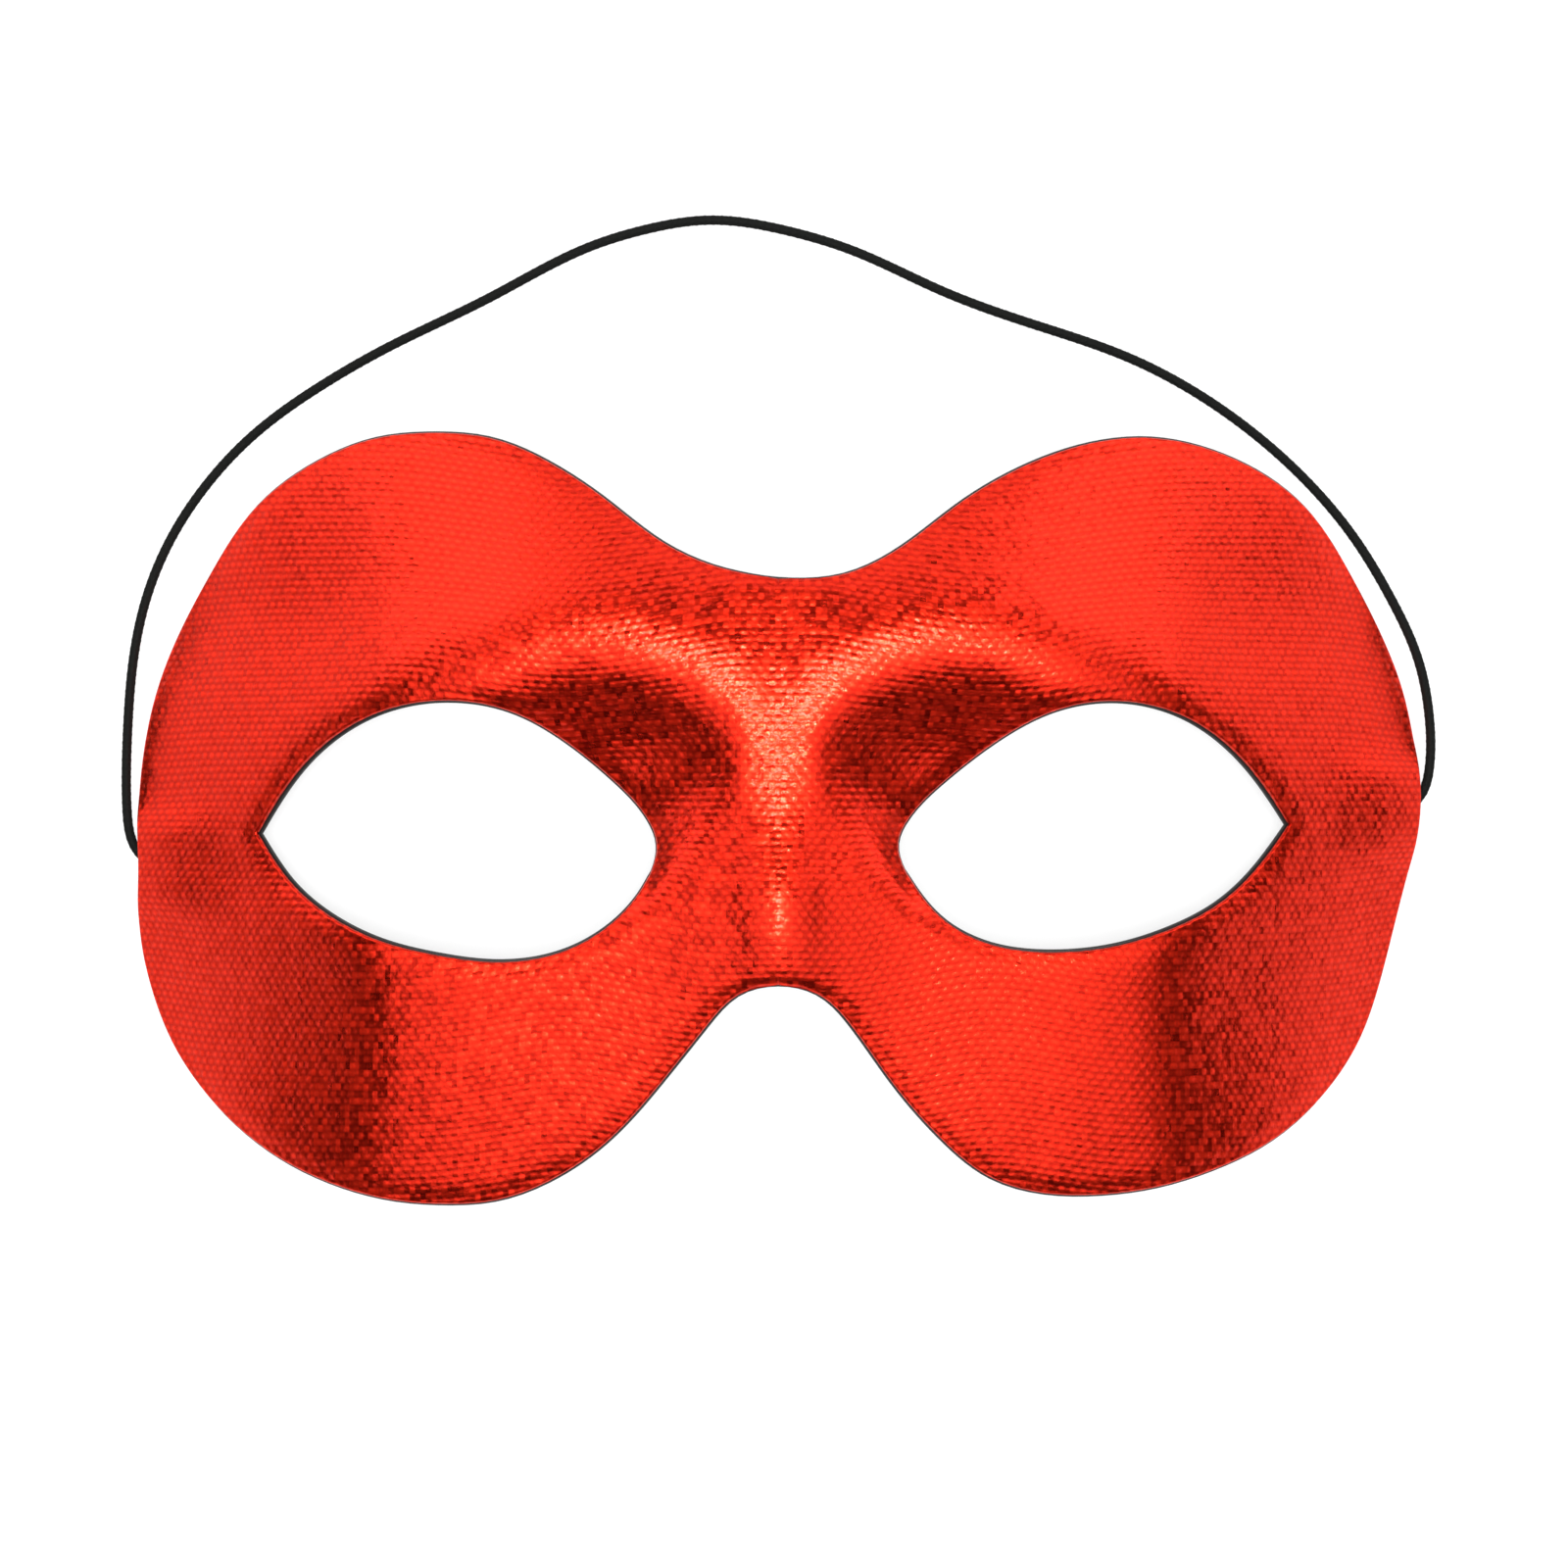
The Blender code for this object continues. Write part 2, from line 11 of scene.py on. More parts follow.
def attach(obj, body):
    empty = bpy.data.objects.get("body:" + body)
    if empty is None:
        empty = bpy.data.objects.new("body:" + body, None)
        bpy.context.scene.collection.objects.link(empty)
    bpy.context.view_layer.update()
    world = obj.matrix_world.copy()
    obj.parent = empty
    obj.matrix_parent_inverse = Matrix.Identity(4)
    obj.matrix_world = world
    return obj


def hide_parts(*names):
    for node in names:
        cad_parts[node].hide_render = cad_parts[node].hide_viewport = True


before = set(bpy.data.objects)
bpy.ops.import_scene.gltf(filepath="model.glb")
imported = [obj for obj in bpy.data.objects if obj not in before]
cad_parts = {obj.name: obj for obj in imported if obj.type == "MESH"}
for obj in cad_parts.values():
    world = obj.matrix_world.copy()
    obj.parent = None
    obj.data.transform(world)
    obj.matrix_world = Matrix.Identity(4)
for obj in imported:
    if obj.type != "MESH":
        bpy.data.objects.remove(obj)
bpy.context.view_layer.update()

# ---------------------------------------------------------------------------------------------
# Camera. It hangs straight above the mask, 0.9 m over the floor, and takes in a square of floor
# a little wider than the mask.
# ---------------------------------------------------------------------------------------------

MM = 0.001
CAMERA_HEIGHT = 900 * MM
CAMERA_OVER = (0.76 * MM, 4.74 * MM)
FLOOR_SEEN = 219.8 * MM
SENSOR_WIDTH = 36.0

camera = bpy.data.objects.new("camera", bpy.data.cameras.new("camera"))
camera.data.sensor_width = SENSOR_WIDTH
camera.data.lens = SENSOR_WIDTH * CAMERA_HEIGHT / FLOOR_SEEN
camera.location = (*CAMERA_OVER, CAMERA_HEIGHT)
bpy.context.scene.collection.objects.link(camera)
bpy.context.scene.camera = camera

# ---------------------------------------------------------------------------------------------
# Head elastic. A round rubber core in a braided black polyester sleeve, 1.4 mm thick. It is one
# length from temple to temple, and each end goes under a small patch stuck behind the temple.
# ---------------------------------------------------------------------------------------------

CORD_DIAMETER = 1.4 * MM
CORD_HEIGHT = 0.80 * MM
CORD_BRAID_DEPTH = 0.045 * MM
CORD_BRAID_STEP = 1.2 * MM
CORD_BRAID_STRANDS = 8
CORD_FACETS = 32
CORD_RINGS_PER_STEP = 6
CORD_YARN = 0.35 * MM
CORD_YARN_RELIEF = 0.05 * MM
# Points of a mesh that are nearer than this are one point
WELD = 0.004 * MM

# Points that the elastic runs through, in mm: out of the left patch and under the rim, over the
# floor above the mask, and back under the right rim to its patch
CORD_START = [
    (-75.95, -20.95, 9.50),
    (-75.95, -16.43, 9.94),
    (-75.95, -14.49, 9.94),
    (-81.61, -11.62, 4.99),
    (-85.57, -9.20, 1.43),
    (-87.43, -6.91, 0.80),
    (-89.74, -4.67, 0.80),
]
CORD_FLOOR = [
    (-91.25, 1.05),
    (-91.34, 6.86),
    (-91.07, 14.24),
    (-90.35, 22.26),
    (-88.54, 30.75),
    (-85.20, 38.88),
    (-79.96, 46.84),
    (-73.45, 53.70),
    (-64.51, 60.24),
    (-54.21, 66.15),
    (-40.48, 72.85),
    (-26.74, 79.86),
    (-18.43, 82.45),
    (-9.58, 83.71),
    (0.72, 82.34),
    (10.39, 79.44),
    (22.77, 73.85),
    (36.41, 68.89),
    (48.88, 64.51),
    (62.52, 56.86),
    (73.64, 47.47),
    (80.77, 38.98),
    (85.74, 30.75),
    (89.54, 22.26),
    (91.16, 13.82),
    (91.16, 7.12),
]
CORD_END = [
    (89.99, 3.25, 0.80),
    (87.68, 1.01, 0.80),
    (84.83, -1.19, 1.97),
    (80.01, -3.52, 6.00),
    (73.12, -6.26, 11.64),
    (73.12, -8.20, 11.64),
    (73.12, -12.70, 11.43),
]


def spline_slopes(at, values, closed=False):
    """Slopes of the cubic spline through values (rows) at the parameters at."""
    count = len(at)
    matrix = np.zeros((count, count))
    right = np.zeros((count,) + values.shape[1:])
    step = np.diff(at)
    rise = np.diff(values, axis=0) / step.reshape((-1,) + (1,) * (values.ndim - 1))
    for i in range(1, count - 1):
        matrix[i, i - 1 : i + 2] = 1 / step[i - 1], 2 / step[i - 1] + 2 / step[i], 1 / step[i]
        right[i] = 3 * (rise[i - 1] / step[i - 1] + rise[i] / step[i])
    if closed:
        matrix[0, [0, 1, -2]] = 2 / step[0] + 2 / step[-1], 1 / step[0], 1 / step[-1]
        right[0] = 3 * (rise[0] / step[0] + rise[-1] / step[-1])
        matrix[-1, [0, -1]] = 1, -1
    else:
        matrix[0, :2] = 2, 1
        matrix[-1, -2:] = 1, 2
        right[0], right[-1] = 3 * rise[0], 3 * rise[-1]
    return np.linalg.solve(matrix, right)


def spline(at, values, where, closed=False):
    """The cubic spline through values at the parameters at, read at where."""
    at, values, where = (np.asarray(v, float) for v in (at, values, where))
    slopes = spline_slopes(at, values, closed)
    where = np.clip(where, at[0], at[-1])
    i = np.clip(np.searchsorted(at, where, side="right") - 1, 0, len(at) - 2)
    step = at[i + 1] - at[i]
    t = (where - at[i]) / step
    if values.ndim > 1:
        step, t = step[..., None], t[..., None]
    return (
        values[i] * (1 + 2 * t) * (1 - t) ** 2
        + values[i + 1] * t * t * (3 - 2 * t)
        + slopes[i] * step * t * (1 - t) ** 2
        - slopes[i + 1] * step * t * t * (1 - t)
    )


def chords(points):
    """Distance along a row of points, from 0."""
    return np.concatenate([[0], np.cumsum(np.linalg.norm(np.diff(points, axis=0), axis=1))])


def add_piece(name, points, faces, material):
    """A smooth mesh object from points and faces, with its material."""
    data = bpy.data.meshes.new(name)
    data.from_pydata(np.asarray(points).tolist(), [], faces)
    mesh = bmesh.new()
    mesh.from_mesh(data)
    bmesh.ops.remove_doubles(mesh, verts=mesh.verts, dist=WELD)
    bmesh.ops.recalc_face_normals(mesh, faces=mesh.faces)
    mesh.to_mesh(data)
    mesh.free()
    data.shade_smooth()
    data.materials.append(material)
    piece = bpy.data.objects.new(name, data)
    bpy.context.scene.collection.objects.link(piece)
    return piece


def linear(hex_colour):
    """An sRGB hex colour as linear light, with alpha 1."""
    shares = [int(hex_colour[i : i + 2], 16) / 255 for i in (1, 3, 5)]
    return (*[s / 12.92 if s <= 0.04045 else ((s + 0.055) / 1.055) ** 2.4 for s in shares], 1.0)


def new_material(name):
    """An empty node material and its Principled shader."""
    made = bpy.data.materials.new(name)
    made.use_nodes = True
    return made, made.node_tree.nodes["Principled BSDF"]


def add_node(material, kind, sockets=None, **settings):
    """Adds a shader node. A socket's value is a number, a colour, or another node's output."""
    tree = material.node_tree
    made = tree.nodes.new("ShaderNode" + kind)
    for name, value in settings.items():
        setattr(made, name, value)
    for name, value in (sockets or {}).items():
        if isinstance(value, bpy.types.NodeSocket):
            tree.links.new(value, made.inputs[name])
        else:
            made.inputs[name].default_value = value
    return made


def finish_shader(material, shader, values=None, links=None):
    """Sets the shader's fixed sockets and links the others."""
    for name, value in (values or {}).items():
        shader.inputs[name].default_value = value
    for name, output in (links or {}).items():
        material.node_tree.links.new(output, shader.inputs[name])
    return material


def braided_tube(path):
    """Rings round the path whose radius rises and falls with the braid's crossing strands."""
    at = chords(path)
    rings = int(at[-1] / CORD_BRAID_STEP * CORD_RINGS_PER_STEP)
    places = np.linspace(0, at[-1], rings + 1)
    middle = spline(at, path, places)
    along = np.gradient(middle, axis=0)
    along /= np.linalg.norm(along, axis=1, keepdims=True)
    side = np.cross(along, (0.0, 0.0, 1.0))
    side /= np.linalg.norm(side, axis=1, keepdims=True)
    up = np.cross(side, along)
    turn = np.linspace(0, 2 * math.pi, CORD_FACETS, endpoint=False)
    braid = np.cos(CORD_BRAID_STRANDS * turn)[None] * np.cos(
        2 * math.pi * places / CORD_BRAID_STEP
    )[:, None]
    radius = CORD_DIAMETER / 2 - CORD_BRAID_DEPTH + CORD_BRAID_DEPTH * braid
    points = (
        middle[:, None]
        + side[:, None] * (radius * np.cos(turn))[..., None]
        + up[:, None] * (radius * np.sin(turn))[..., None]
    )
    faces = []
    for i in range(rings):
        for j in range(CORD_FACETS):
            k = (j + 1) % CORD_FACETS
            a, b = i * CORD_FACETS, (i + 1) * CORD_FACETS
            faces.append((a + j, a + k, b + k, b + j))
    faces.append(tuple(range(CORD_FACETS))[::-1])
    faces.append(tuple(rings * CORD_FACETS + j for j in range(CORD_FACETS)))
    return points.reshape(-1, 3), faces, middle


# Braided polyester over rubber: dull black yarn that greys a little where it catches the light
braided_polyester, shader = new_material("braided_black_polyester")
place = add_node(braided_polyester, "TexCoord")
yarn = add_node(
    braided_polyester,
    "TexNoise",
    {"Vector": place.outputs["Object"], "Scale": 1 / CORD_YARN, "Detail": 3.0},
)
shade = add_node(braided_polyester, "ValToRGB", {"Fac": yarn.outputs["Fac"]})
for stop, at, tone in zip(shade.color_ramp.elements, (0.35, 0.75), ("#060706", "#0E0F0D")):
    stop.position, stop.color = at, linear(tone)
fibres = add_node(
    braided_polyester,
    "Bump",
    {"Height": yarn.outputs["Fac"], "Strength": 0.5, "Distance": CORD_YARN_RELIEF},
)
finish_shader(
    braided_polyester,
    shader,
    {"Roughness": 0.75, "Specular IOR Level": 0.12},
    {"Base Color": shade.outputs["Color"], "Normal": fibres.outputs["Normal"]},
)

route = [*CORD_START, *[(x, y, CORD_HEIGHT / MM) for x, y in CORD_FLOOR], *CORD_END]
route = np.array(route) * MM
cord_points, cord_faces, cord_middle = braided_tube(route)
head_elastic = add_piece("head_elastic", cord_points, cord_faces, braided_polyester)
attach(head_elastic, "root")
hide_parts("elastic_cord")

# ---------------------------------------------------------------------------------------------
# Moulded backing. A stiff black sheet pressed hot over a face form, so that it is hollow behind.
# Its cut edge shows as a thin dark line round the eye openings and along the brow.
# ---------------------------------------------------------------------------------------------

MASK_WIDTH = 180 * MM
MASK_HEIGHT = 105.5 * MM
COVER_THICKNESS = 1.0 * MM
LAYER_GAP = 0.3 * MM
BACKING_THICKNESS = 1.2 * MM
WRAP_DEPTH = 44 * MM
FOREHEAD_FALL = 3.0 * MM
CHEEK_FALL = 2.0 * MM
BROW_RISE = 2.0 * MM
BROW_WIDTH = 12.0 * MM
BROW_TURN = 6.5 * MM
SOCKET_DEPTH = 26 * MM
SOCKET_TURN = 7 * MM
WALL_TURN = 10 * MM
BRIDGE_HALF_WIDTH = 2.2 * MM
NOSE_RISE = 4.0 * MM
NOSE_WIDTH = 11.0 * MM
CHEEK_TURN = 8 * MM
CHEEK_RISE = 0.8 * MM
# Slopes of the forehead, of the wall of each eye socket and of the cheeks
FOREHEAD_LEAN = 0.27
SOCKET_SLOPE = 0.75
CHEEK_LEAN = 0.14
# How fast the nose widens downwards, each side
NOSE_SPREAD = 0.18
# Share of the socket's depth that is left beside the tip of the nose
CHEEK_SHARE = 0.15
# How far the bottom of the brow's V is rounded, as a share of the half width
V_ROUND = 0.02
# Where the nose starts to widen, as a share of the half height above the middle, and where the
# cheeks start to lean, as a share below it
NOSE_WIDENS = 0.30
CHEEK_STARTS = 0.12
# Swelling under each eye: its middle and its reach, across and up
CHEEK_MIDDLE, CHEEK_REACH = (0.42, -0.68), (0.20, 0.42)
# Where a form fades or comes in, and over what length, as shares of the way to the temple's edge
FEATURES_FADE = (0.72, 0.24)
FOREHEAD_FADE = (0.40, 0.60)
CHEEK_FADE = (0.50, 0.40)
ARCH_COMES_IN = (0.80, 0.20)
RIM_TURNS_LEVEL = (0.88, 0.12)
# The same as shares of the half width, each with the share of the form that is lost beyond it
BROW_FLATTENS, BROW_LOST = (0.38, 0.36), 0.80
SOCKET_SHALLOWS, SOCKET_LOST = (0.22, 0.45), 0.80
# The socket ends along a line that falls outwards from mid height at this slope, down to this
# share of the half height, and it fades out over the same share above the line
SOCKET_END_SLOPE, SOCKET_END = 1.54, 0.30
# Middle of the arch for the elastic that keeps its full rise, as a share of its half length
ARCH_FLAT = 0.25
# How far the wall turns from its slope to straight back at a free edge, and the steepest face, by
# its normal's upward part, for which a layer's depth and a distance over the surface still grow
EDGE_TURN = 0.8
LAYER_STEEPEST = 0.65
SURFACE_STEEPEST = 0.55
REST_REACH = 18 * MM
REST_FADE = 16 * MM
COVER_SETBACK = 0.35 * MM
EDGE_EASE = 0.4 * MM
EDGE_WIDTH = 3.0 * MM
CORD_CLEARANCE = 0.6 * MM
ARCH_HALF_LENGTH = 11.0 * MM
BACKING_FRONT_ROUND = 0.15 * MM
BACKING_BACK_ROUND = 0.25 * MM
BOARD_PEBBLE = 0.8 * MM
BOARD_PEBBLE_RELIEF = 0.12 * MM
BOARD_CLOUD = 18 * MM

# Outer edge from the brow dip to the nose arch: place, then across and up on the left half and on
# the right half, as shares of half the width and half the height
EDGE = [
    ("brow_dip", 0.000, 0.617, 0.000, 0.617),
    ("dip_side", 0.085, 0.645, 0.095, 0.628),
    ("brow_rise", 0.167, 0.708, 0.183, 0.702),
    ("brow_slope", 0.255, 0.822, 0.271, 0.816),
    ("brow_shoulder", 0.344, 0.923, 0.360, 0.906),
    ("brow_crown", 0.433, 0.987, 0.449, 0.965),
    ("brow_top", 0.525, 1.003, 0.548, 0.991),
    ("brow_bend", 0.616, 0.990, 0.644, 0.970),
    ("brow_side", 0.711, 0.930, 0.732, 0.913),
    ("brow_corner", 0.806, 0.817, 0.814, 0.815),
    ("temple_rise", 0.878, 0.659, 0.884, 0.659),
    ("temple_upper", 0.932, 0.504, 0.936, 0.505),
    ("temple_high", 0.969, 0.349, 0.973, 0.349),
    ("temple_top", 0.991, 0.180, 0.993, 0.190),
    ("temple", 0.999, 0.000, 1.000, 0.040),
    ("temple_low", 0.997, -0.140, 0.989, -0.100),
    ("temple_foot", 0.998, -0.280, 0.970, -0.230),
    ("cheek_corner", 0.983, -0.430, 0.945, -0.400),
    ("cheek_side", 0.948, -0.584, 0.906, -0.586),
    ("cheek_bend", 0.880, -0.738, 0.837, -0.740),
    ("cheek_curve", 0.766, -0.886, 0.759, -0.842),
    ("cheek_low", 0.669, -0.956, 0.663, -0.914),
    ("cheek_under", 0.582, -0.989, 0.570, -0.956),
    ("cheek_bottom", 0.500, -0.997, 0.475, -0.973),
    ("cheek_inner", 0.418, -0.983, 0.383, -0.962),
    ("cheek_turn", 0.344, -0.935, 0.316, -0.923),
    ("cheek_rise", 0.256, -0.832, 0.244, -0.826),
    ("arch_foot", 0.169, -0.669, 0.164, -0.668),
    ("arch_side", 0.104, -0.529, 0.106, -0.529),
    ("arch_shoulder", 0.057, -0.448, 0.059, -0.449),
    ("nose_arch", 0.000, -0.424, 0.000, -0.424),
]

# Eye opening from its outer tip over the lid, round the inner corner and back under, as EDGE
EYE = [
    ("outer_tip", 0.788, -0.040, 0.771, -0.017),
    ("lid_outer", 0.706, 0.149, 0.702, 0.138),
    ("lid_rise", 0.611, 0.257, 0.621, 0.244),
    ("lid_top", 0.484, 0.295, 0.480, 0.293),
    ("lid_fall", 0.391, 0.262, 0.404, 0.264),
    ("lid_inner", 0.321, 0.194, 0.326, 0.191),
    ("corner_upper", 0.249, 0.094, 0.251, 0.092),
    ("corner_top", 0.202, 0.006, 0.201, 0.006),
    ("inner_corner", 0.186, -0.060, 0.183, -0.059),
    ("corner_lower", 0.201, -0.156, 0.204, -0.159),
    ("under_inner", 0.248, -0.257, 0.249, -0.252),
    ("under_turn", 0.314, -0.326, 0.308, -0.308),
    ("under_low", 0.415, -0.358, 0.402, -0.333),
    ("under_mid", 0.506, -0.342, 0.505, -0.317),
    ("under_rise", 0.598, -0.304, 0.589, -0.274),
    ("under_outer", 0.673, -0.244, 0.660, -0.215),
    ("under_tip", 0.737, -0.158, 0.723, -0.122),
    ("end_tip", 0.788, -0.040, 0.771, -0.017),
]

# Wrap round the head: share of the half width, share of WRAP_DEPTH that the surface has fallen
WRAP = [
    (0.00, 0.000),
    (0.20, 0.013),
    (0.40, 0.060),
    (0.50, 0.108),
    (0.55, 0.142),
    (0.60, 0.188),
    (0.65, 0.258),
    (0.70, 0.348),
    (0.80, 0.548),
    (0.90, 0.768),
    (1.00, 1.000),
]

# Crest of the brow: share of the half width, share of the half height
BROW_CREST = [
    (0.00, 0.110),
    (0.03, 0.215),
    (0.06, 0.305),
    (0.10, 0.375),
    (0.15, 0.425),
    (0.21, 0.460),
    (0.28, 0.475),
    (0.36, 0.457),
    (0.45, 0.408),
    (0.54, 0.350),
    (0.64, 0.270),
    (0.75, 0.150),
    (1.00, -0.150),
]

# Ridge of the nose: share of the half height, share of NOSE_RISE
NOSE_RIDGE = [
    (-1.00, 0.000),
    (-0.80, 0.050),
    (-0.60, 0.350),
    (-0.45, 0.820),
    (-0.38, 0.960),
    (-0.30, 1.000),
    (-0.21, 0.880),
    (-0.10, 0.500),
    (-0.02, 0.250),
    (0.08, 0.060),
    (0.20, 0.000),
    (0.45, 0.000),
    (1.00, 0.000),
]

# Where the elastic passes under the rim, as a share of the half height, by side
CORD_PASS = {"left": -0.115, "right": 0.035}

# Grid over each half of the face: spans of the outer edge, the span of the eye opening that each
# one faces, and the steps along both. The centre line faces the rest of the eye opening
SPANS = [
    ("brow_dip", "temple", "lid_inner", "outer_tip", 24),
    ("temple", "cheek_turn", "end_tip", "under_low", 16),
    ("cheek_turn", "nose_arch", "under_low", "under_inner", 10),
]
STEPS_CENTRE = 12
# Lines of the grid that follow an edge, by their distance from it in mm
EDGE_LINES = [0, 0.12, 0.26, 0.44, 0.66, 0.9, 1.1, 1.3, 1.5, 1.75, 2.1]
# Faces that meet at more than this angle meet in a crisp edge
CRISP_ANGLE = math.radians(55)

HALF_WIDTH = MASK_WIDTH / 2 + COVER_SETBACK
HALF_HEIGHT = MASK_HEIGHT / 2
SIDES = {"left": -1, "right": 1}
BACKING_FRONT = COVER_THICKNESS + LAYER_GAP
BACKING_BACK = BACKING_FRONT + BACKING_THICKNESS


def ease(t):
    """0 below 0, 1 above 1, and smooth between them."""
    t = np.clip(t, 0.0, 1.0)
    return t * t * t * (t * (6 * t - 15) + 10)


def fade(share, where):
    """1 up to where a form starts to fade, 0 beyond the length over which it does."""
    start, length = where
    return 1 - ease((share - start) / length)


def table_curve(rows, where):
    """A short two-column table read as a smooth curve."""
    rows = np.array(rows)
    return spline(rows[:, 0], rows[:, 1], where)


def evenly(curve, start, end, steps):
    """Points at equal distances along curve, a function of a parameter, from start to end."""
    fine = curve(np.linspace(start, end, 60 * steps + 1))
    along = chords(fine)
    places = np.linspace(0, along[-1], steps + 1)
    return np.stack([np.interp(places, along, fine[:, k]) for k in range(2)], axis=1)


def plan_points(rows, side):
    """A table's points for one side, in metres seen from the front, with the side's sign on X."""
    column = 1 if side == "left" else 3
    return np.array(
        [
            (SIDES[side] * row[column] * HALF_WIDTH, row[column + 1] * HALF_HEIGHT)
            for row in rows
        ]
    )


def edge_curve(side):
    """The outer edge of one side as a function of distance, and that distance at each table row.
    The closed curve runs round both sides, so it stays smooth through the dip and the arch."""
    other = "right" if side == "left" else "left"
    own = plan_points(EDGE, side)
    back = plan_points(EDGE, other)[::-1][1:]
    points = np.vstack([own, back])
    at = chords(points)
    return lambda where: spline(at, points, where, closed=True), at[: len(own)]


def eye_curve(side):
    """The eye opening of one side, which is sharp at its outer tip only."""
    points = plan_points(EYE, side)
    at = chords(points)
    return lambda where: spline(at, points, where), at


def row_of(rows, place):
    return [row[0] for row in rows].index(place)


def temple_line(side):
    """How far out the outer edge lies at a height, near the temple."""
    curve, at = edge_curve(side)
    first, last = row_of(EDGE, "brow_corner"), row_of(EDGE, "cheek_bend")
    stretch = curve(np.linspace(at[first], at[last], 200))[::-1]

    def out(y):
        past = np.clip((np.abs(y) - REST_REACH) / REST_FADE, 0, 1)
        near = np.minimum(np.abs(y), REST_REACH) + REST_FADE * (past - past**3 + past**4 / 2)
        return np.interp(np.sign(y) * near, stretch[:, 1], np.abs(stretch[:, 0]))

    return out


TEMPLE_LINES = {side: temple_line(side) for side in SIDES}


def wrap_share(x, y):
    """How far out a point is towards its own temple: 0 at the middle, 1 at the temple's edge."""
    left, right = TEMPLE_LINES["left"](y), TEMPLE_LINES["right"](y)
    return np.abs(x) / np.where(x < 0, left, right)


def cord_arch(x, y, share):
    """Height that the rim rises where the elastic passes under it."""
    rise = CORD_DIAMETER + 2 * CORD_CLEARANCE
    middle = np.where(x < 0, CORD_PASS["left"], CORD_PASS["right"]) * HALF_HEIGHT
    along = np.abs(y - middle) / ARCH_HALF_LENGTH
    return rise * fade(along, (ARCH_FLAT, 1 - ARCH_FLAT)) * (1 - fade(share, ARCH_COMES_IN))


def hinge(b, turn):
    """0 below 0, then a slow turn into a slope of 1."""
    b = np.maximum(b, 0)
    return b**3 / (b * b + turn * turn)


def face_height(x, y):
    """Height of the front of the face above the floor."""
    share = wrap_share(x, y)
    across, up = np.abs(x) / HALF_WIDTH, y / HALF_HEIGHT
    height = WRAP_DEPTH * (1 - table_curve(WRAP, share))

    # Forehead and cheeks lean back beyond the height of the temples
    beyond = np.clip((np.abs(y) - REST_REACH) / (HALF_HEIGHT - REST_REACH), 0, None)
    height -= np.where(y > 0, FOREHEAD_FALL, CHEEK_FALL) * beyond**2

    # Brow: a soft crest that leans back to the forehead, and drops to a V between the eyes
    near = np.sqrt(across**2 + V_ROUND**2)
    crest = table_curve(BROW_CREST, near) * HALF_HEIGHT
    d = V_ROUND / 2
    steep = (table_curve(BROW_CREST, near + d) - table_curve(BROW_CREST, near - d)) / (2 * d)
    steep *= HALF_HEIGHT / HALF_WIDTH
    below = (crest - y) / np.sqrt(1 + steep**2)
    brow = BROW_RISE * (1 - BROW_LOST * (1 - fade(across, BROW_FLATTENS)))
    brow *= np.exp(-((below / BROW_WIDTH) ** 2))
    brow -= FOREHEAD_LEAN * hinge(-below, BROW_TURN) * fade(share, FOREHEAD_FADE)

    # Socket: a wall under the crest that turns round into the side of the nose
    wall = hinge(below, WALL_TURN)
    bridge = BRIDGE_HALF_WIDTH + NOSE_SPREAD * hinge(NOSE_WIDENS * HALF_HEIGHT - y, SOCKET_TURN)
    flank = hinge(np.abs(x) - bridge, SOCKET_TURN)
    reach = (np.maximum(wall, 1e-6) ** -2 + np.maximum(flank, 1e-6) ** -2) ** (-1 / 2)
    socket = SOCKET_DEPTH * np.tanh(SOCKET_SLOPE * reach / SOCKET_DEPTH)
    socket *= 1 - SOCKET_LOST * (1 - fade(across, SOCKET_SHALLOWS))
    hollow = ease((up + np.minimum(SOCKET_END_SLOPE * across, SOCKET_END)) / SOCKET_END)
    socket *= CHEEK_SHARE + (1 - CHEEK_SHARE) * hollow

    # Brow and socket fade out before the temple's edge
    height += fade(share, FEATURES_FADE) * (brow - socket)

    # Nose: a ridge that rises to its tip and falls to the arch
    height += NOSE_RISE * table_curve(NOSE_RIDGE, up) * np.exp(-((x / NOSE_WIDTH) ** 2))

    # Cheeks: they lean back below the eyes, with a soft swelling under each one
    lean = CHEEK_LEAN * hinge(-y - CHEEK_STARTS * HALF_HEIGHT, CHEEK_TURN)
    height -= lean * fade(share, CHEEK_FADE)
    out = (across - CHEEK_MIDDLE[0]) / CHEEK_REACH[0]
    down = (up - CHEEK_MIDDLE[1]) / CHEEK_REACH[1]
    height += CHEEK_RISE * np.exp(-(out**2) - down**2)

    return height + cord_arch(x, y, share)


def face_normal(x, y):
    """Unit normals of the front of the face."""
    d = 0.2 * MM
    slope_x = (face_height(x + d, y) - face_height(x - d, y)) / (2 * d)
    slope_y = (face_height(x, y + d) - face_height(x, y - d)) / (2 * d)
    normal = np.stack([-slope_x, -slope_y, np.ones_like(slope_x)], axis=-1)
    return normal / np.linalg.norm(normal, axis=-1, keepdims=True)


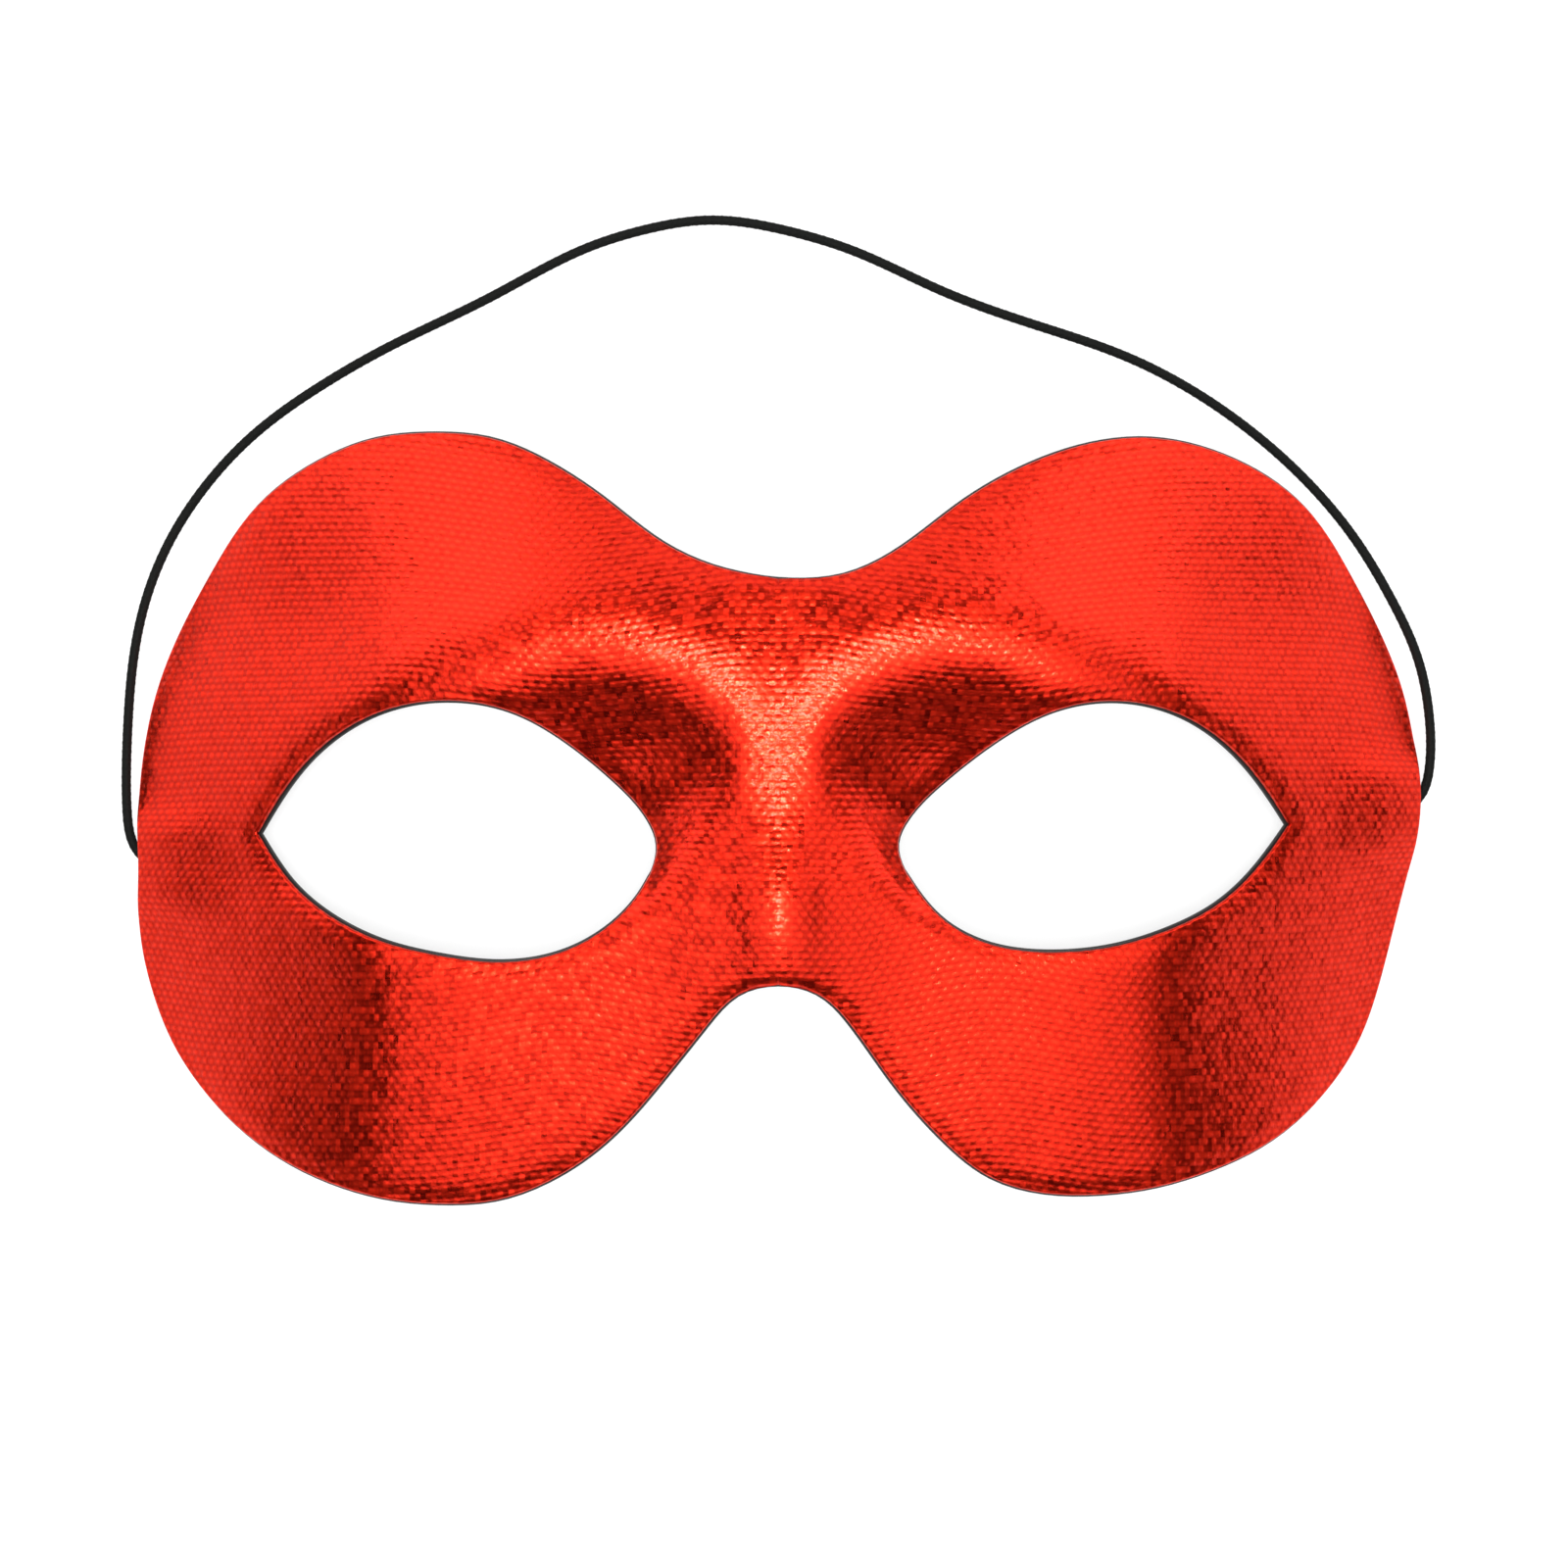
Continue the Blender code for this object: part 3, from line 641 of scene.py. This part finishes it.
def layer(x, y, depth, at_edge=0.0):
    """The face surface moved back by depth through the wall. At an edge, where at_edge is 1, the
    move turns straight back, and at the temple's edge it turns level, so that the rim lies flat."""
    normal = face_normal(x, y)
    level = (1 - fade(wrap_share(x, y), RIM_TURNS_LEVEL))[..., None]
    back = at_edge * (1 - level)
    flat = normal * (1, 1, 0)
    flat /= np.maximum(np.linalg.norm(flat, axis=-1, keepdims=True), 1e-9)
    upright = EDGE_TURN * back * np.array([0, 0, 1])
    way = (normal * (1 - EDGE_TURN * back) + upright) * (1 - level) + flat * level
    way /= np.linalg.norm(way, axis=-1, keepdims=True)
    way /= np.maximum(np.sum(way * normal, axis=-1, keepdims=True), LAYER_STEEPEST)
    front = np.stack([x, y, face_height(x, y)], axis=-1)
    depth = np.broadcast_to(np.asarray(depth, float), x.shape)[..., None]
    return front - way * depth - back * np.array([0, 0, EDGE_EASE])


def face_grid(side, setback, finer, even_lines):
    """Plan points of one half: rows run round the eye opening, columns from it to the outer edge.
    Edge points stand in by setback. finer multiplies the rows, and even_lines lie between the
    lines that follow the edges. Also how far each point counts as an edge, from 0 to 1."""
    edge, edge_at = edge_curve(side)
    eye, eye_at = eye_curve(side)
    outer, inner = [], []
    for edge_from, edge_to, eye_from, eye_to, steps in SPANS:
        ends = edge_at[row_of(EDGE, edge_from)], edge_at[row_of(EDGE, edge_to)]
        outer += list(evenly(edge, *ends, steps * finer)[:-1])
        ends = eye_at[row_of(EYE, eye_from)], eye_at[row_of(EYE, eye_to)]
        inner += list(evenly(eye, *ends, steps * finer)[:-1])
    edge_steps = len(outer)
    dip, arch = edge(edge_at[[0, -1]])
    steps = STEPS_CENTRE * finer
    outer += list(np.linspace(arch, dip, steps + 1)[:-1])
    ends = eye_at[row_of(EYE, SPANS[-1][3])], eye_at[row_of(EYE, SPANS[0][2])]
    inner += list(evenly(eye, *ends, steps)[:-1])
    outer, inner = np.array(outer), np.array(inner)
    outer[np.abs(outer[:, 0]) < 1e-7, 0] = 0.0

    # Only the two ends of the centre line are edges, and they move along it
    on_edge = np.arange(len(outer)) <= edge_steps
    inward = outer - inner
    inward /= np.linalg.norm(inward, axis=1, keepdims=True)
    inner = inner + inward * setback
    inward[outer[:, 0] == 0.0, 0] = 0.0
    inward /= np.linalg.norm(inward, axis=1, keepdims=True)
    outer = outer - inward * setback * on_edge[:, None]

    width = np.linalg.norm(outer - inner, axis=1)[:, None]
    near = np.array(EDGE_LINES)[None] * MM / width
    between = np.linspace(0, 1, even_lines + 2)[None, 1:-1]
    between = near[:, -1:] + (1 - 2 * near[:, -1:]) * between
    share = np.concatenate([near, between, 1 - near[:, ::-1]], axis=1)[..., None]
    grid = inner[:, None] * (1 - share) + outer[:, None] * share
    from_eye, from_outer = share[..., 0] * width, (1 - share[..., 0]) * width
    at_edge = 1 - ease(from_eye / EDGE_WIDTH)
    at_edge = np.maximum(at_edge, (1 - ease(from_outer / EDGE_WIDTH)) * on_edge[:, None])
    return grid, at_edge[..., None], edge_steps


def from_edges(grid, side, setback):
    """Distance of each plan point from the nearest edge, measured over the surface."""
    edge, edge_at = edge_curve(side)
    eye, eye_at = eye_curve(side)
    lines = [edge(np.linspace(edge_at[0], edge_at[-1], 700))]
    lines.append(eye(np.linspace(eye_at[0], eye_at[-1], 500)))
    flat = grid.reshape(-1, 2)
    nearest = np.full(len(flat), 1.0)
    for line in lines:
        for start, end in zip(line[:-1], line[1:]):
            way = end - start
            t = np.clip(((flat - start) @ way) / (way @ way), 0, 1)
            gap = np.linalg.norm(flat - start - t[:, None] * way, axis=1)
            nearest = np.minimum(nearest, gap)
    steep = np.maximum(face_normal(flat[:, 0], flat[:, 1])[:, 2], SURFACE_STEEPEST)
    return (np.maximum(nearest - setback, 0.0) / steep).reshape(grid.shape[:-1])


def rolled(distance, radius):
    """How far a rounded edge of that radius has dropped at a distance from its end."""
    left = np.clip(radius - distance, 0, radius)
    return radius - np.sqrt(radius**2 - left**2)


def shell(name, front, back, setback, finer, even_lines, material):
    """One closed shell. front and back give the depth behind the face surface at each point."""
    points, faces = [], []
    for side in SIDES:
        grid, at_edge, edge_steps = face_grid(side, setback, finer, even_lines)
        x, y = grid[..., 0], grid[..., 1]
        distance = from_edges(grid, side, setback)
        rows, columns = x.shape
        starts = []
        for depth in (front(x, y, distance), back(x, y, distance)):
            sheet = layer(x, y, depth, at_edge)
            sheet[x == 0.0, 0] = 0.0
            starts.append(sum(len(p) for p in points))
            points.append(sheet.reshape(-1, 3))

        def at(sheet, i, j):
            return starts[sheet] + (i % rows) * columns + j % columns

        for i in range(rows):
            for j in range(columns - 1):
                faces.append((at(0, i, j), at(0, i + 1, j), at(0, i + 1, j + 1), at(0, i, j + 1)))
                faces.append((at(1, i, j + 1), at(1, i + 1, j + 1), at(1, i + 1, j), at(1, i, j)))
            faces.append((at(1, i, 0), at(1, i + 1, 0), at(0, i + 1, 0), at(0, i, 0)))
            if i < edge_steps:
                faces.append((at(0, i, -1), at(0, i + 1, -1), at(1, i + 1, -1), at(1, i, -1)))
    piece = add_piece(name, np.vstack(points), faces, material)
    piece.data.set_sharp_from_angle(angle=CRISP_ANGLE)
    return piece


# Hot-pressed fibre board: matt black with a fine pebbled grain left by the press
pressed_fibre, shader = new_material("pressed_black_fibre_board")
place = add_node(pressed_fibre, "TexCoord")
grain = add_node(
    pressed_fibre,
    "TexNoise",
    {"Vector": place.outputs["Object"], "Scale": 1 / BOARD_PEBBLE, "Detail": 4.0},
)
cloud = add_node(
    pressed_fibre,
    "TexNoise",
    {"Vector": place.outputs["Object"], "Scale": 1 / BOARD_CLOUD, "Detail": 2.0},
)
shade = add_node(pressed_fibre, "ValToRGB", {"Fac": cloud.outputs["Fac"]})
for stop, at, tone in zip(shade.color_ramp.elements, (0.3, 0.7), ("#151515", "#222120")):
    stop.position, stop.color = at, linear(tone)
pebble = add_node(
    pressed_fibre,
    "Bump",
    {"Height": grain.outputs["Fac"], "Strength": 0.6, "Distance": BOARD_PEBBLE_RELIEF},
)
finish_shader(
    pressed_fibre,
    shader,
    {"Roughness": 0.62},
    {"Base Color": shade.outputs["Color"], "Normal": pebble.outputs["Normal"]},
)

moulded_backing = shell(
    "moulded_backing",
    front=lambda x, y, distance: BACKING_FRONT + rolled(distance, BACKING_FRONT_ROUND),
    back=lambda x, y, distance: BACKING_BACK - rolled(distance, BACKING_BACK_ROUND),
    setback=0.0,
    finer=3,
    even_lines=16,
    material=pressed_fibre,
)
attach(moulded_backing, "root")
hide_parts("backing_shell")

# ---------------------------------------------------------------------------------------------
# Knitted cover. Red metallic yarn knitted in staggered stitches, stretched over the front of the
# backing while both were pressed, and trimmed with it.
# ---------------------------------------------------------------------------------------------

CUT_EDGE_RADIUS = 0.4 * MM
CLOTH_WAVE_LENGTH = 9 * MM
CLOTH_WAVE_HEIGHT = 0.05 * MM
# The waves come in over this distance from an edge
CLOTH_WAVE_START = 4 * MM
# Grid over the face on which the cloth is measured: its step, and steps each way from the middle
CLOTH_GRID_STEP = 0.5 * MM
CLOTH_GRID_REACH = (190, 112)
# Pattern of the knit, in mm on the cloth: along a row from a stitch to the next that is level
# with it, from row to row, and the width of one strand of yarn
STITCH_ALONG = 1.55
STITCH_ROW = 0.97
STRAND_WIDTH = 0.45
KNIT_RELIEF = 0.05 * MM
# How strongly the rows and the strands stand out beside the stitches
ROW_SHARE = 0.8
STRAND_SHARE = 2.6
# How far one stitch's yarn may tilt, and how strongly chance changes its colour
STITCH_TILT = 0.11
CHANCE_SHARE = 1.3
# Heights in the weave at which the yarn has its deepest and brightest colour, as painted shade and
# light
PAINTED_SHADE_DEEPEST, PAINTED_LIGHT_BRIGHTEST = -1.4, 2.4


def cover_front(x, y, distance):
    """Depth of the cloth's outer face: the rolled cut edge and small waves."""
    waves = [
        noise.noise(Vector((a / CLOTH_WAVE_LENGTH, b / CLOTH_WAVE_LENGTH, 0.0)))
        for a, b in zip(x.ravel(), y.ravel())
    ]
    waves = np.array(waves).reshape(x.shape) * ease(distance / CLOTH_WAVE_START)
    waves *= CLOTH_WAVE_HEIGHT
    return rolled(distance, CUT_EDGE_RADIUS) + np.maximum(waves + CLOTH_WAVE_HEIGHT, 0)


def cloth_places(x, y):
    """Where points lie on the cloth in mm, along its rows and over them, measured on the form."""
    step = CLOTH_GRID_STEP
    across, up = [np.arange(-reach, reach + 1) * step for reach in CLOTH_GRID_REACH]
    height = face_height(*np.meshgrid(across, up, indexing="ij"))
    places = []
    for axis, middle in enumerate(CLOTH_GRID_REACH):
        rise = np.diff(height, axis=axis)
        length = np.cumsum(np.hypot(rise, step), axis=axis)
        length = np.concatenate([np.zeros_like(np.take(length, [0], axis)), length], axis=axis)
        length -= np.take(length, [middle], axis)
        i, j = (x - across[0]) / step, (y - up[0]) / step
        a, b = i.astype(int), j.astype(int)
        s, t = i - a, j - b
        low = length[a, b] * (1 - s) + length[a + 1, b] * s
        high = length[a, b + 1] * (1 - s) + length[a + 1, b + 1] * s
        places.append((low * (1 - t) + high * t) / MM)
    return places


# Metallised polyester yarn, knitted: a red mirror broken up by its stitches, so that it is bright
# and grainy where it faces a light and nearly black where it faces none. A clear film over the
# metal adds a weak, paler gleam
red_lame, shader = new_material("red_metallised_yarn_knit")
cloth = add_node(red_lame, "Attribute", attribute_name="cloth_place")
along_row = add_node(red_lame, "SeparateXYZ", {"Vector": cloth.outputs["Vector"]})


def wave(output, length):
    """Cosine of a place on the cloth, whose crests stand length mm apart."""
    scaled = add_node(red_lame, "Math", {0: output, 1: 2 * math.pi / length}, operation="MULTIPLY")
    return add_node(red_lame, "Math", {0: scaled.outputs[0]}, operation="COSINE").outputs[0]


def cell(output, length):
    """Number of the stitch that a place is in."""
    scaled = add_node(red_lame, "Math", {0: output, 1: 1 / length}, operation="MULTIPLY")
    return add_node(red_lame, "Math", {0: scaled.outputs[0]}, operation="ROUND").outputs[0]


stitches = add_node(
    red_lame,
    "Math",
    {
        0: wave(along_row.outputs["X"], STITCH_ALONG),
        1: wave(along_row.outputs["Y"], 2 * STITCH_ROW),
    },
    operation="MULTIPLY",
).outputs[0]
stitch_number = add_node(
    red_lame,
    "CombineXYZ",
    {
        "X": cell(along_row.outputs["X"], STITCH_ALONG / 2),
        "Y": cell(along_row.outputs["Y"], STITCH_ROW),
    },
)
chance = add_node(red_lame, "TexWhiteNoise", {"Vector": stitch_number.outputs[0]})
strand_noise = add_node(
    red_lame,
    "TexNoise",
    {"Vector": cloth.outputs["Vector"], "Scale": 1 / STRAND_WIDTH, "Detail": 3.0},
)

# Each stitch's yarn lies a little askew, which makes it flash or fade on its own
askew = add_node(
    red_lame,
    "VectorMath",
    {0: chance.outputs["Color"], 1: (0.5, 0.5, 0.5)},
    operation="SUBTRACT",
)
askew = add_node(
    red_lame, "VectorMath", {0: askew.outputs[0], "Scale": STITCH_TILT}, operation="SCALE"
)
straight = add_node(red_lame, "NewGeometry")
tilted = add_node(
    red_lame,
    "VectorMath",
    {0: straight.outputs["Normal"], 1: askew.outputs[0]},
    operation="ADD",
)
tilted = add_node(red_lame, "VectorMath", {0: tilted.outputs[0]}, operation="NORMALIZE")
rows = add_node(
    red_lame,
    "Math",
    {0: wave(along_row.outputs["Y"], STITCH_ROW), 1: ROW_SHARE, 2: stitches},
    operation="MULTIPLY_ADD",
).outputs[0]
relief = add_node(
    red_lame,
    "Math",
    {0: strand_noise.outputs["Fac"], 1: STRAND_SHARE, 2: rows},
    operation="MULTIPLY_ADD",
)
knit_bump = add_node(
    red_lame,
    "Bump",
    {
        "Height": relief.outputs[0],
        "Strength": 0.38,
        "Distance": KNIT_RELIEF,
        "Normal": tilted.outputs[0],
    },
)
shine = add_node(
    red_lame,
    "MapRange",
    {"Value": chance.outputs["Value"], "To Min": 0.27, "To Max": 0.44},
)

# Painted shade and light: yarn that dips between the rows is deeper in colour, raised yarn
# brighter.
# Chance also gives each stitch its own tone, so no two stitches are quite alike
tone_and_painted_shade = add_node(
    red_lame,
    "Math",
    {0: chance.outputs["Value"], 1: CHANCE_SHARE, 2: rows},
    operation="MULTIPLY_ADD",
)
tone_and_shade_share = add_node(
    red_lame,
    "MapRange",
    {"Value": tone_and_painted_shade.outputs[0], "From Min": PAINTED_SHADE_DEEPEST, "From Max": PAINTED_LIGHT_BRIGHTEST},
)
yarn_colour = add_node(
    red_lame,
    "Mix",
    {
        "Factor": tone_and_shade_share.outputs[0],
        "A": linear("#AE1509"),
        "B": linear("#F53019"),
    },
    data_type="RGBA",
)
finish_shader(
    red_lame,
    shader,
    {
        "Metallic": 1.0,
        "Specular Tint": (1.0, 0.65, 0.6, 1.0),
        "Coat Weight": 0.09,
        "Coat Roughness": 0.16,
    },
    {
        "Base Color": yarn_colour.outputs["Result"],
        "Normal": knit_bump.outputs["Normal"],
        "Coat Normal": knit_bump.outputs["Normal"],
        "Roughness": shine.outputs["Result"],
    },
)

knitted_cover = shell(
    "knitted_cover",
    front=cover_front,
    back=lambda x, y, distance: np.full(x.shape, COVER_THICKNESS),
    setback=COVER_SETBACK,
    finer=4,
    even_lines=30,
    material=red_lame,
)
places = np.empty(len(knitted_cover.data.vertices) * 3)
knitted_cover.data.vertices.foreach_get("co", places)
places = places.reshape(-1, 3)
along, over = cloth_places(places[:, 0], places[:, 1])
attribute = knitted_cover.data.attributes.new("cloth_place", "FLOAT_VECTOR", "POINT")
attribute.data.foreach_set("vector", np.stack([along, over, 0 * along], axis=1).ravel())
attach(knitted_cover, "root")
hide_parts("face_cover")

# ---------------------------------------------------------------------------------------------
# Elastic patches. A rounded patch of black adhesive felt behind each temple, pressed down over
# the end of the elastic, which shows through it as a ridge.
# ---------------------------------------------------------------------------------------------

PATCH_LENGTH = 14.0 * MM
PATCH_WIDTH = 7.0 * MM
PATCH_STEPS = 24
# Off the back of the mask at first touch, and how far in from the temple, in backing depths
PATCH_STANDOFF = 0.05 * MM
PATCH_INSET = 2.2
# Roundness of the patch's corners: 2 is an ellipse, and more is squarer
PATCH_SQUARENESS = 5
FELT_THICKNESS = 0.6 * MM
FELT_EDGE_ROUND = 0.35 * MM
FELT_FIBRE = 0.3 * MM
FELT_RELIEF = 0.15 * MM
# Ridge over the elastic: thickness of felt and elastic together, width, how much of the edge's
# rounding it takes away, and where it starts along the half length, with the length of its ramp
RIDGE_THICKNESS = 2.2 * MM
RIDGE_HALF_WIDTH = 1.9 * MM
RIDGE_SHARE = 0.6
RIDGE_START, RIDGE_RAMP = -0.45, 0.5

# Needled polyester felt: a soft black nap with no shine
black_felt, shader = new_material("black_adhesive_felt")
place = add_node(black_felt, "TexCoord")
nap = add_node(
    black_felt,
    "TexNoise",
    {"Vector": place.outputs["Object"], "Scale": 1 / FELT_FIBRE, "Detail": 5.0, "Roughness": 0.7},
)
shade = add_node(black_felt, "ValToRGB", {"Fac": nap.outputs["Fac"]})
for stop, at, tone in zip(shade.color_ramp.elements, (0.3, 0.8), ("#0D0D0D", "#2B2B2A")):
    stop.position, stop.color = at, linear(tone)
fuzz = add_node(
    black_felt, "Bump", {"Height": nap.outputs["Fac"], "Strength": 0.8, "Distance": FELT_RELIEF}
)
finish_shader(
    black_felt,
    shader,
    {"Roughness": 0.95, "Sheen Weight": 0.3, "Sheen Roughness": 0.6},
    {"Base Color": shade.outputs["Color"], "Normal": fuzz.outputs["Normal"]},
)


def felt_patch(side):
    """A rounded patch on the back of the temple wall, raised along its middle by the elastic."""
    upper = CORD_PASS[side] * HALF_HEIGHT - ARCH_HALF_LENGTH
    out = TEMPLE_LINES[side](upper - PATCH_LENGTH) - PATCH_INSET * BACKING_BACK
    a, b = np.meshgrid(*[np.linspace(-1, 1, PATCH_STEPS + 1)] * 2, indexing="ij")
    square = np.maximum(np.abs(a), np.abs(b))
    bulge = np.abs(a) ** PATCH_SQUARENESS + np.abs(b) ** PATCH_SQUARENESS
    round_off = square / np.maximum(bulge ** (1 / PATCH_SQUARENESS), 1e-9)
    a, b = a * round_off, b * round_off
    x = SIDES[side] * (out - PATCH_WIDTH / 2 + a * PATCH_WIDTH / 2)
    y = upper - PATCH_LENGTH / 2 + b * PATCH_LENGTH / 2
    across = np.clip(np.abs(a) * PATCH_WIDTH / 2 / RIDGE_HALF_WIDTH, 0, 1)
    ridge = (0.5 + 0.5 * np.cos(math.pi * across)) * ease((b - RIDGE_START) / RIDGE_RAMP)
    thick = FELT_THICKNESS + (RIDGE_THICKNESS - FELT_THICKNESS) * ridge
    edge_drop = rolled((1 - square) * PATCH_WIDTH / 2, FELT_EDGE_ROUND)
    thick -= edge_drop * (1 - RIDGE_SHARE * ridge)
    base = BACKING_BACK + PATCH_STANDOFF
    sheets = [layer(x, y, base), layer(x, y, base + LAYER_GAP + thick)]
    size = PATCH_STEPS + 1
    faces = []
    for i in range(PATCH_STEPS):
        for j in range(PATCH_STEPS):
            quad = (i * size + j, (i + 1) * size + j, (i + 1) * size + j + 1, i * size + j + 1)
            faces += [quad, tuple(size * size + k for k in reversed(quad))]
    rim = [(i, 0) for i in range(PATCH_STEPS)] + [(PATCH_STEPS, j) for j in range(PATCH_STEPS)]
    rim += [(PATCH_STEPS - i, PATCH_STEPS - j) for i, j in rim]
    for (i, j), (k, m) in zip(rim, rim[1:] + rim[:1]):
        low, high = i * size + j, k * size + m
        faces.append((low, high, size * size + high, size * size + low))
    patch = add_piece(
        f"felt_patch_{side}", np.vstack([s.reshape(-1, 3) for s in sheets]), faces, black_felt
    )
    patch.data.set_sharp_from_angle(angle=CRISP_ANGLE)
    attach(patch, "root")
    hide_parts(f"cord_tab_{side}")


for side in SIDES:
    felt_patch(side)

# ---------------------------------------------------------------------------------------------
# Studio. A matt white floor, a wide soft window beyond the forehead, a wide soft box overhead, a
# window and a low light on each side, and a small light beside the camera, which shines straight
# down so that the floor seen through the eye openings is as white as the rest.
# ---------------------------------------------------------------------------------------------

white_floor, shader = new_material("matt_white_floor")
finish_shader(
    white_floor,
    shader,
    {
        "Base Color": linear("#898989"),
        "Roughness": 0.9,
        "Emission Color": (1.0, 1.0, 1.0, 1.0),
        "Emission Strength": 0.72,
    },
)
FLOOR_WIDTH = 6.0
# The floor lies this far under the mask, so that the two don't share a surface
FLOOR_GAP = 0.02 * MM
bpy.ops.mesh.primitive_plane_add(size=FLOOR_WIDTH)
floor = bpy.context.object
floor.name = "floor"
floor.location.z = -FLOOR_GAP
floor.data.materials.append(white_floor)

# Each light: place in metres, width and height in metres, power in watts
LIGHTS = {
    "window": ((0.0, 1.60, 0.75), (2.8, 0.90), 12.5),
    "overhead": ((0.0, -0.35, 1.15), (2.80, 1.35), 17.01),
    "side_window_left": ((-1.15, 1.00, 0.75), (1.10, 1.40), 9.548),
    "side_window_right": ((1.15, 1.00, 0.75), (1.10, 1.40), 9.548),
    "low_light_left": ((-1.50, 0.64, 0.26), (0.80, 0.34), 1.7408),
    "low_light_right": ((1.50, 0.60, 0.26), (0.86, 0.34), 1.8688),
    "front_light": ((0.0, 0.0, 1.20), (0.15, 0.15), 14.0),
}
for name, (place, (width, height), power) in LIGHTS.items():
    light = bpy.data.objects.new(name, bpy.data.lights.new(name, "AREA"))
    light.data.shape = "RECTANGLE"
    light.data.size, light.data.size_y = width, height
    light.data.energy = power
    light.location = place
    light.rotation_euler = Vector(place).to_track_quat("Z", "Y").to_euler()
    bpy.context.scene.collection.objects.link(light)

# The room itself gives a trace of cool light
room = bpy.data.worlds.new("room")
room.use_nodes = True
glow = room.node_tree.nodes["Background"].inputs
glow["Color"].default_value = (0.9, 0.95, 1.0, 1.0)
glow["Strength"].default_value = 0.05
bpy.context.scene.world = room
bpy.context.scene.view_settings.view_transform = "Standard"
